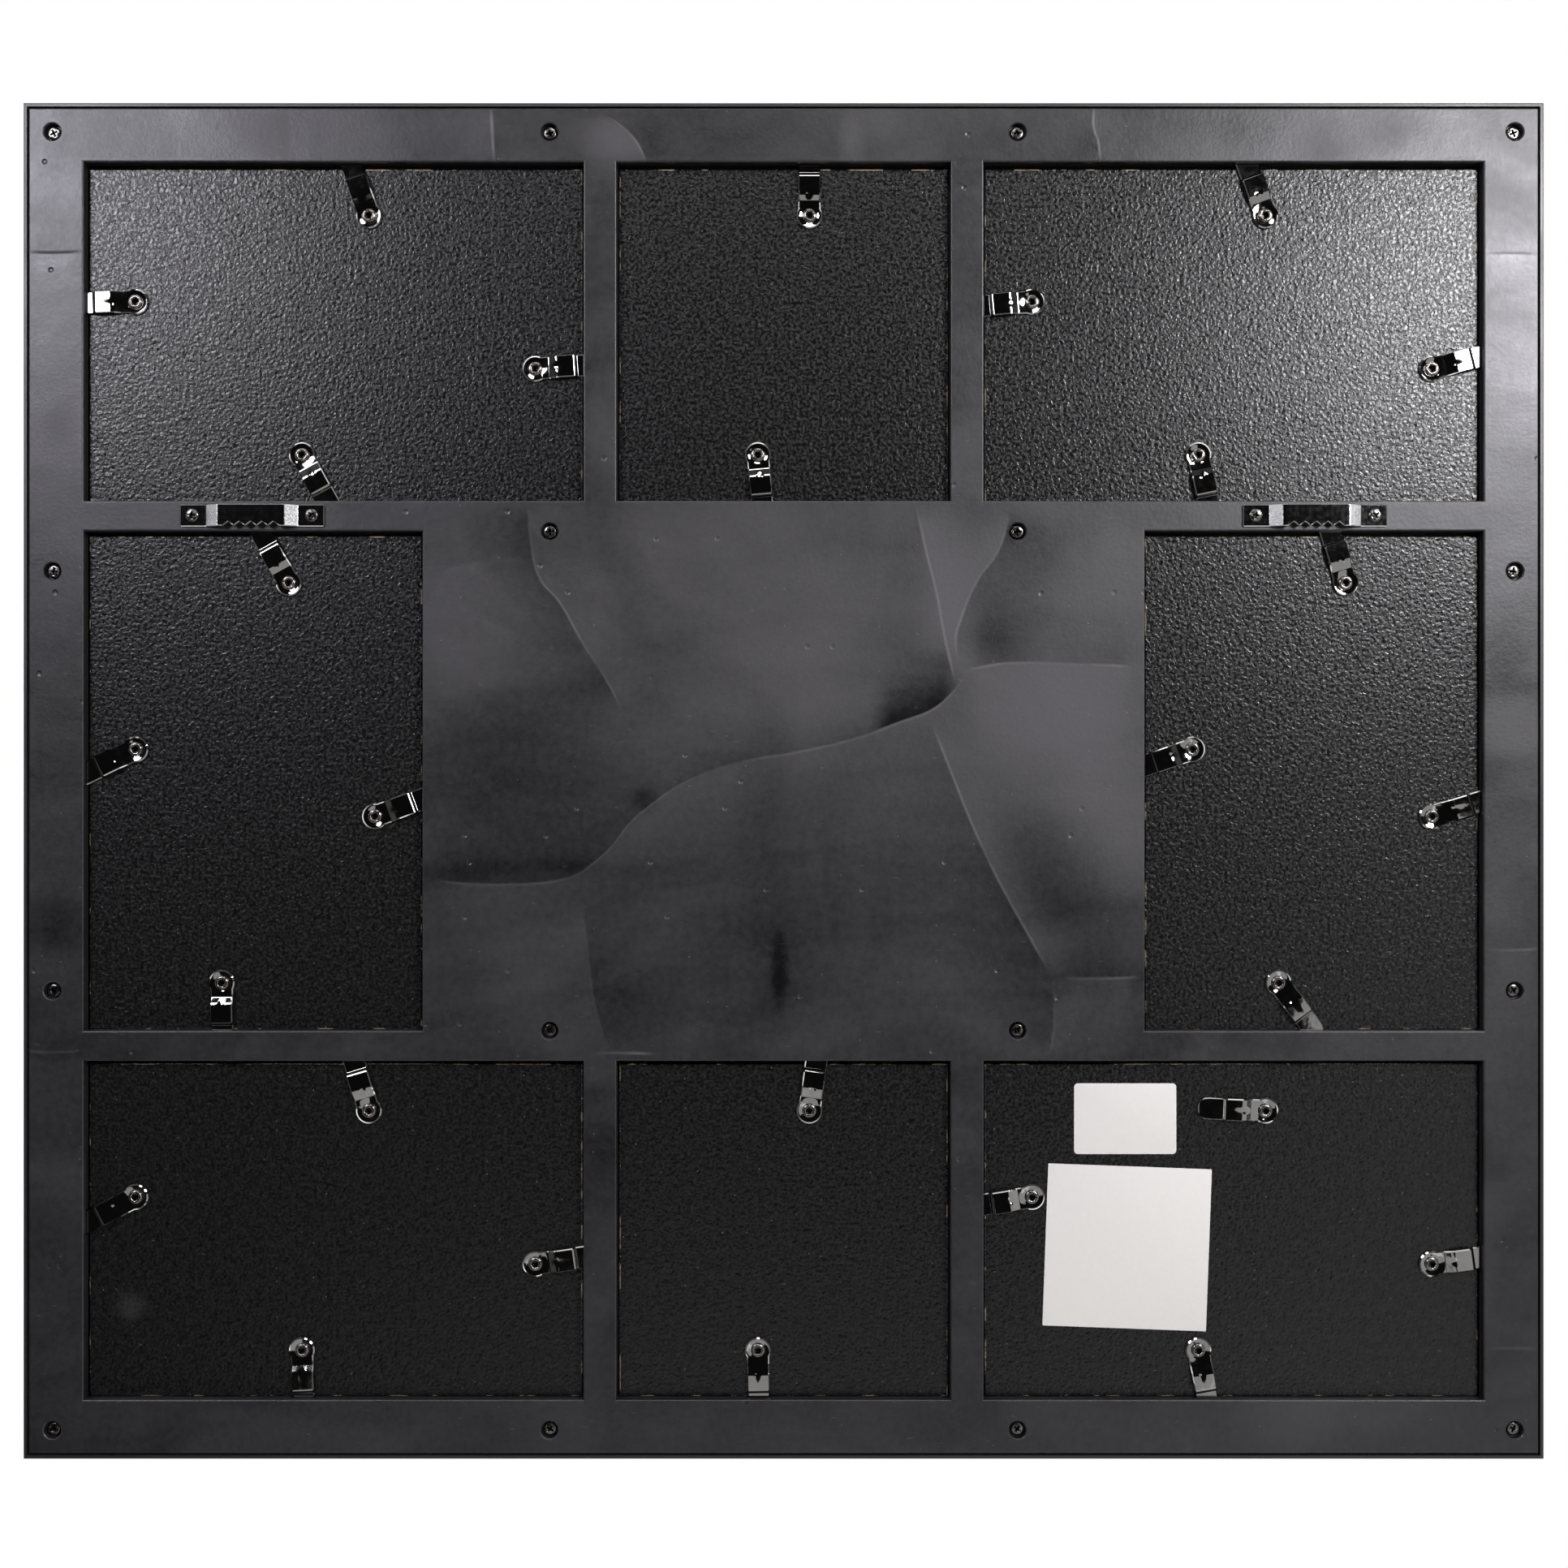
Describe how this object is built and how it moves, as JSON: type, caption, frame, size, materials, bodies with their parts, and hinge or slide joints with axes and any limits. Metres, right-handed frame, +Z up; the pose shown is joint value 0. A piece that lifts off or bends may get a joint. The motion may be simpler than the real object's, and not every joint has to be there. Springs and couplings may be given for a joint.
{
  "type": "collage photo frame",
  "caption": "Wall-hung black collage photo frame with several glazed windows, a screwed back panel, backer boards held by riveted turn clips, and sawtooth hangers.",
  "frame": {"origin": "on the wall plane that the backs of both hangers touch, behind the middle of the frame", "axes": "+Y into the wall, so the front faces -Y; +X across the frame; +Z up"},
  "size_m": [0.47, 0.0173, 0.419],
  "materials": {
    "frame_plastic": "satin",
    "panel_plastic": "satin",
    "board_face": "satin",
    "insert_paper": "matte",
    "pane_glass": "gloss",
    "clip_steel": "gloss",
    "rivet_steel": "gloss",
    "hanger_steel": "gloss",
    "screw_steel": "satin",
    "black_screw_steel": "gloss"
  },
  "bodies": {
    "frame": {"front_frame": "frame_plastic", "back_panel": "panel_plastic", "hanger_left": "hanger_steel", "hanger_right": "hanger_steel", "clip_rivets": "rivet_steel", "panel_screws": "screw_steel", "hanger_screws": "black_screw_steel", "glass_top_left": "pane_glass", "insert_top_left": "insert_paper", "board_top_left": "board_face", "glass_top_middle": "pane_glass", "insert_top_middle": "insert_paper", "board_top_middle": "board_face", "glass_top_right": "pane_glass", "insert_top_right": "insert_paper", "board_top_right": "board_face", "glass_middle_left": "pane_glass", "insert_middle_left": "insert_paper", "board_middle_left": "board_face", "glass_middle_right": "pane_glass", "insert_middle_right": "insert_paper", "board_middle_right": "board_face", "glass_bottom_left": "pane_glass", "insert_bottom_left": "insert_paper", "board_bottom_left": "board_face", "glass_bottom_middle": "pane_glass", "insert_bottom_middle": "insert_paper", "board_bottom_middle": "board_face", "glass_bottom_right": "pane_glass", "insert_bottom_right": "insert_paper", "board_bottom_right": "board_face"},
    "clip_top_left_top": {"clip_top_left_top": "clip_steel"},
    "clip_top_left_left": {"clip_top_left_left": "clip_steel"},
    "clip_top_left_right": {"clip_top_left_right": "clip_steel"},
    "clip_top_left_bottom": {"clip_top_left_bottom": "clip_steel"},
    "clip_top_middle_top": {"clip_top_middle_top": "clip_steel"},
    "clip_top_middle_bottom": {"clip_top_middle_bottom": "clip_steel"},
    "clip_top_right_top": {"clip_top_right_top": "clip_steel"},
    "clip_top_right_left": {"clip_top_right_left": "clip_steel"},
    "clip_top_right_right": {"clip_top_right_right": "clip_steel"},
    "clip_top_right_bottom": {"clip_top_right_bottom": "clip_steel"},
    "clip_middle_left_top": {"clip_middle_left_top": "clip_steel"},
    "clip_middle_left_left": {"clip_middle_left_left": "clip_steel"},
    "clip_middle_left_right": {"clip_middle_left_right": "clip_steel"},
    "clip_middle_left_bottom": {"clip_middle_left_bottom": "clip_steel"},
    "clip_middle_right_top": {"clip_middle_right_top": "clip_steel"},
    "clip_middle_right_left": {"clip_middle_right_left": "clip_steel"},
    "clip_middle_right_right": {"clip_middle_right_right": "clip_steel"},
    "clip_middle_right_bottom": {"clip_middle_right_bottom": "clip_steel"},
    "clip_bottom_left_top": {"clip_bottom_left_top": "clip_steel"},
    "clip_bottom_left_left": {"clip_bottom_left_left": "clip_steel"},
    "clip_bottom_left_right": {"clip_bottom_left_right": "clip_steel"},
    "clip_bottom_left_bottom": {"clip_bottom_left_bottom": "clip_steel"},
    "clip_bottom_middle_top": {"clip_bottom_middle_top": "clip_steel"},
    "clip_bottom_middle_bottom": {"clip_bottom_middle_bottom": "clip_steel"},
    "clip_bottom_right_top": {"clip_bottom_right_top": "clip_steel"},
    "clip_bottom_right_left": {"clip_bottom_right_left": "clip_steel"},
    "clip_bottom_right_right": {"clip_bottom_right_right": "clip_steel"},
    "clip_bottom_right_bottom": {"clip_bottom_right_bottom": "clip_steel"}
  },
  "joints": [
    {"name": "turn_top_left_top", "type": "hinge", "parent": "frame", "child": "clip_top_left_top", "pos_m": [0.1288, -0.006, 0.1756], "axis": [0, 1, 0], "continuous": true},
    {"name": "turn_top_left_left", "type": "hinge", "parent": "frame", "child": "clip_top_left_left", "pos_m": [0.2013, -0.006, 0.1488], "axis": [0, 1, 0], "continuous": true},
    {"name": "turn_top_left_right", "type": "hinge", "parent": "frame", "child": "clip_top_left_right", "pos_m": [0.0771, -0.006, 0.128], "axis": [0, 1, 0], "continuous": true},
    {"name": "turn_top_left_bottom", "type": "hinge", "parent": "frame", "child": "clip_top_left_bottom", "pos_m": [0.1496, -0.006, 0.1012], "axis": [0, 1, 0], "continuous": true},
    {"name": "turn_top_middle_top", "type": "hinge", "parent": "frame", "child": "clip_top_middle_top", "pos_m": [-0.008, -0.006, 0.1756], "axis": [0, 1, 0], "continuous": true},
    {"name": "turn_top_middle_bottom", "type": "hinge", "parent": "frame", "child": "clip_top_middle_bottom", "pos_m": [0.008, -0.006, 0.1012], "axis": [0, 1, 0], "continuous": true},
    {"name": "turn_top_right_top", "type": "hinge", "parent": "frame", "child": "clip_top_right_top", "pos_m": [-0.1496, -0.006, 0.1756], "axis": [0, 1, 0], "continuous": true},
    {"name": "turn_top_right_left", "type": "hinge", "parent": "frame", "child": "clip_top_right_left", "pos_m": [-0.0771, -0.006, 0.1488], "axis": [0, 1, 0], "continuous": true},
    {"name": "turn_top_right_right", "type": "hinge", "parent": "frame", "child": "clip_top_right_right", "pos_m": [-0.2013, -0.006, 0.128], "axis": [0, 1, 0], "continuous": true},
    {"name": "turn_top_right_bottom", "type": "hinge", "parent": "frame", "child": "clip_top_right_bottom", "pos_m": [-0.1288, -0.006, 0.1012], "axis": [0, 1, 0], "continuous": true},
    {"name": "turn_middle_left_top", "type": "hinge", "parent": "frame", "child": "clip_middle_left_top", "pos_m": [0.1537, -0.006, 0.0615], "axis": [0, 1, 0], "continuous": true},
    {"name": "turn_middle_left_left", "type": "hinge", "parent": "frame", "child": "clip_middle_left_left", "pos_m": [0.2013, -0.006, 0.0098], "axis": [0, 1, 0], "continuous": true},
    {"name": "turn_middle_left_right", "type": "hinge", "parent": "frame", "child": "clip_middle_left_right", "pos_m": [0.1269, -0.006, -0.011], "axis": [0, 1, 0], "continuous": true},
    {"name": "turn_middle_left_bottom", "type": "hinge", "parent": "frame", "child": "clip_middle_left_bottom", "pos_m": [0.1745, -0.006, -0.0627], "axis": [0, 1, 0], "continuous": true},
    {"name": "turn_middle_right_top", "type": "hinge", "parent": "frame", "child": "clip_middle_right_top", "pos_m": [-0.1745, -0.006, 0.0615], "axis": [0, 1, 0], "continuous": true},
    {"name": "turn_middle_right_left", "type": "hinge", "parent": "frame", "child": "clip_middle_right_left", "pos_m": [-0.1269, -0.006, 0.0098], "axis": [0, 1, 0], "continuous": true},
    {"name": "turn_middle_right_right", "type": "hinge", "parent": "frame", "child": "clip_middle_right_right", "pos_m": [-0.2013, -0.006, -0.011], "axis": [0, 1, 0], "continuous": true},
    {"name": "turn_middle_right_bottom", "type": "hinge", "parent": "frame", "child": "clip_middle_right_bottom", "pos_m": [-0.1537, -0.006, -0.0627], "axis": [0, 1, 0], "continuous": true},
    {"name": "turn_bottom_left_top", "type": "hinge", "parent": "frame", "child": "clip_bottom_left_top", "pos_m": [0.1288, -0.006, -0.1024], "axis": [0, 1, 0], "continuous": true},
    {"name": "turn_bottom_left_left", "type": "hinge", "parent": "frame", "child": "clip_bottom_left_left", "pos_m": [0.2013, -0.006, -0.1292], "axis": [0, 1, 0], "continuous": true},
    {"name": "turn_bottom_left_right", "type": "hinge", "parent": "frame", "child": "clip_bottom_left_right", "pos_m": [0.0771, -0.006, -0.15], "axis": [0, 1, 0], "continuous": true},
    {"name": "turn_bottom_left_bottom", "type": "hinge", "parent": "frame", "child": "clip_bottom_left_bottom", "pos_m": [0.1496, -0.006, -0.1768], "axis": [0, 1, 0], "continuous": true},
    {"name": "turn_bottom_middle_top", "type": "hinge", "parent": "frame", "child": "clip_bottom_middle_top", "pos_m": [-0.008, -0.006, -0.1024], "axis": [0, 1, 0], "continuous": true},
    {"name": "turn_bottom_middle_bottom", "type": "hinge", "parent": "frame", "child": "clip_bottom_middle_bottom", "pos_m": [0.008, -0.006, -0.1768], "axis": [0, 1, 0], "continuous": true},
    {"name": "turn_bottom_right_top", "type": "hinge", "parent": "frame", "child": "clip_bottom_right_top", "pos_m": [-0.1496, -0.006, -0.1024], "axis": [0, 1, 0], "continuous": true},
    {"name": "turn_bottom_right_left", "type": "hinge", "parent": "frame", "child": "clip_bottom_right_left", "pos_m": [-0.0771, -0.006, -0.1292], "axis": [0, 1, 0], "continuous": true},
    {"name": "turn_bottom_right_right", "type": "hinge", "parent": "frame", "child": "clip_bottom_right_right", "pos_m": [-0.2013, -0.006, -0.15], "axis": [0, 1, 0], "continuous": true},
    {"name": "turn_bottom_right_bottom", "type": "hinge", "parent": "frame", "child": "clip_bottom_right_bottom", "pos_m": [-0.1288, -0.006, -0.1768], "axis": [0, 1, 0], "continuous": true}
  ]
}
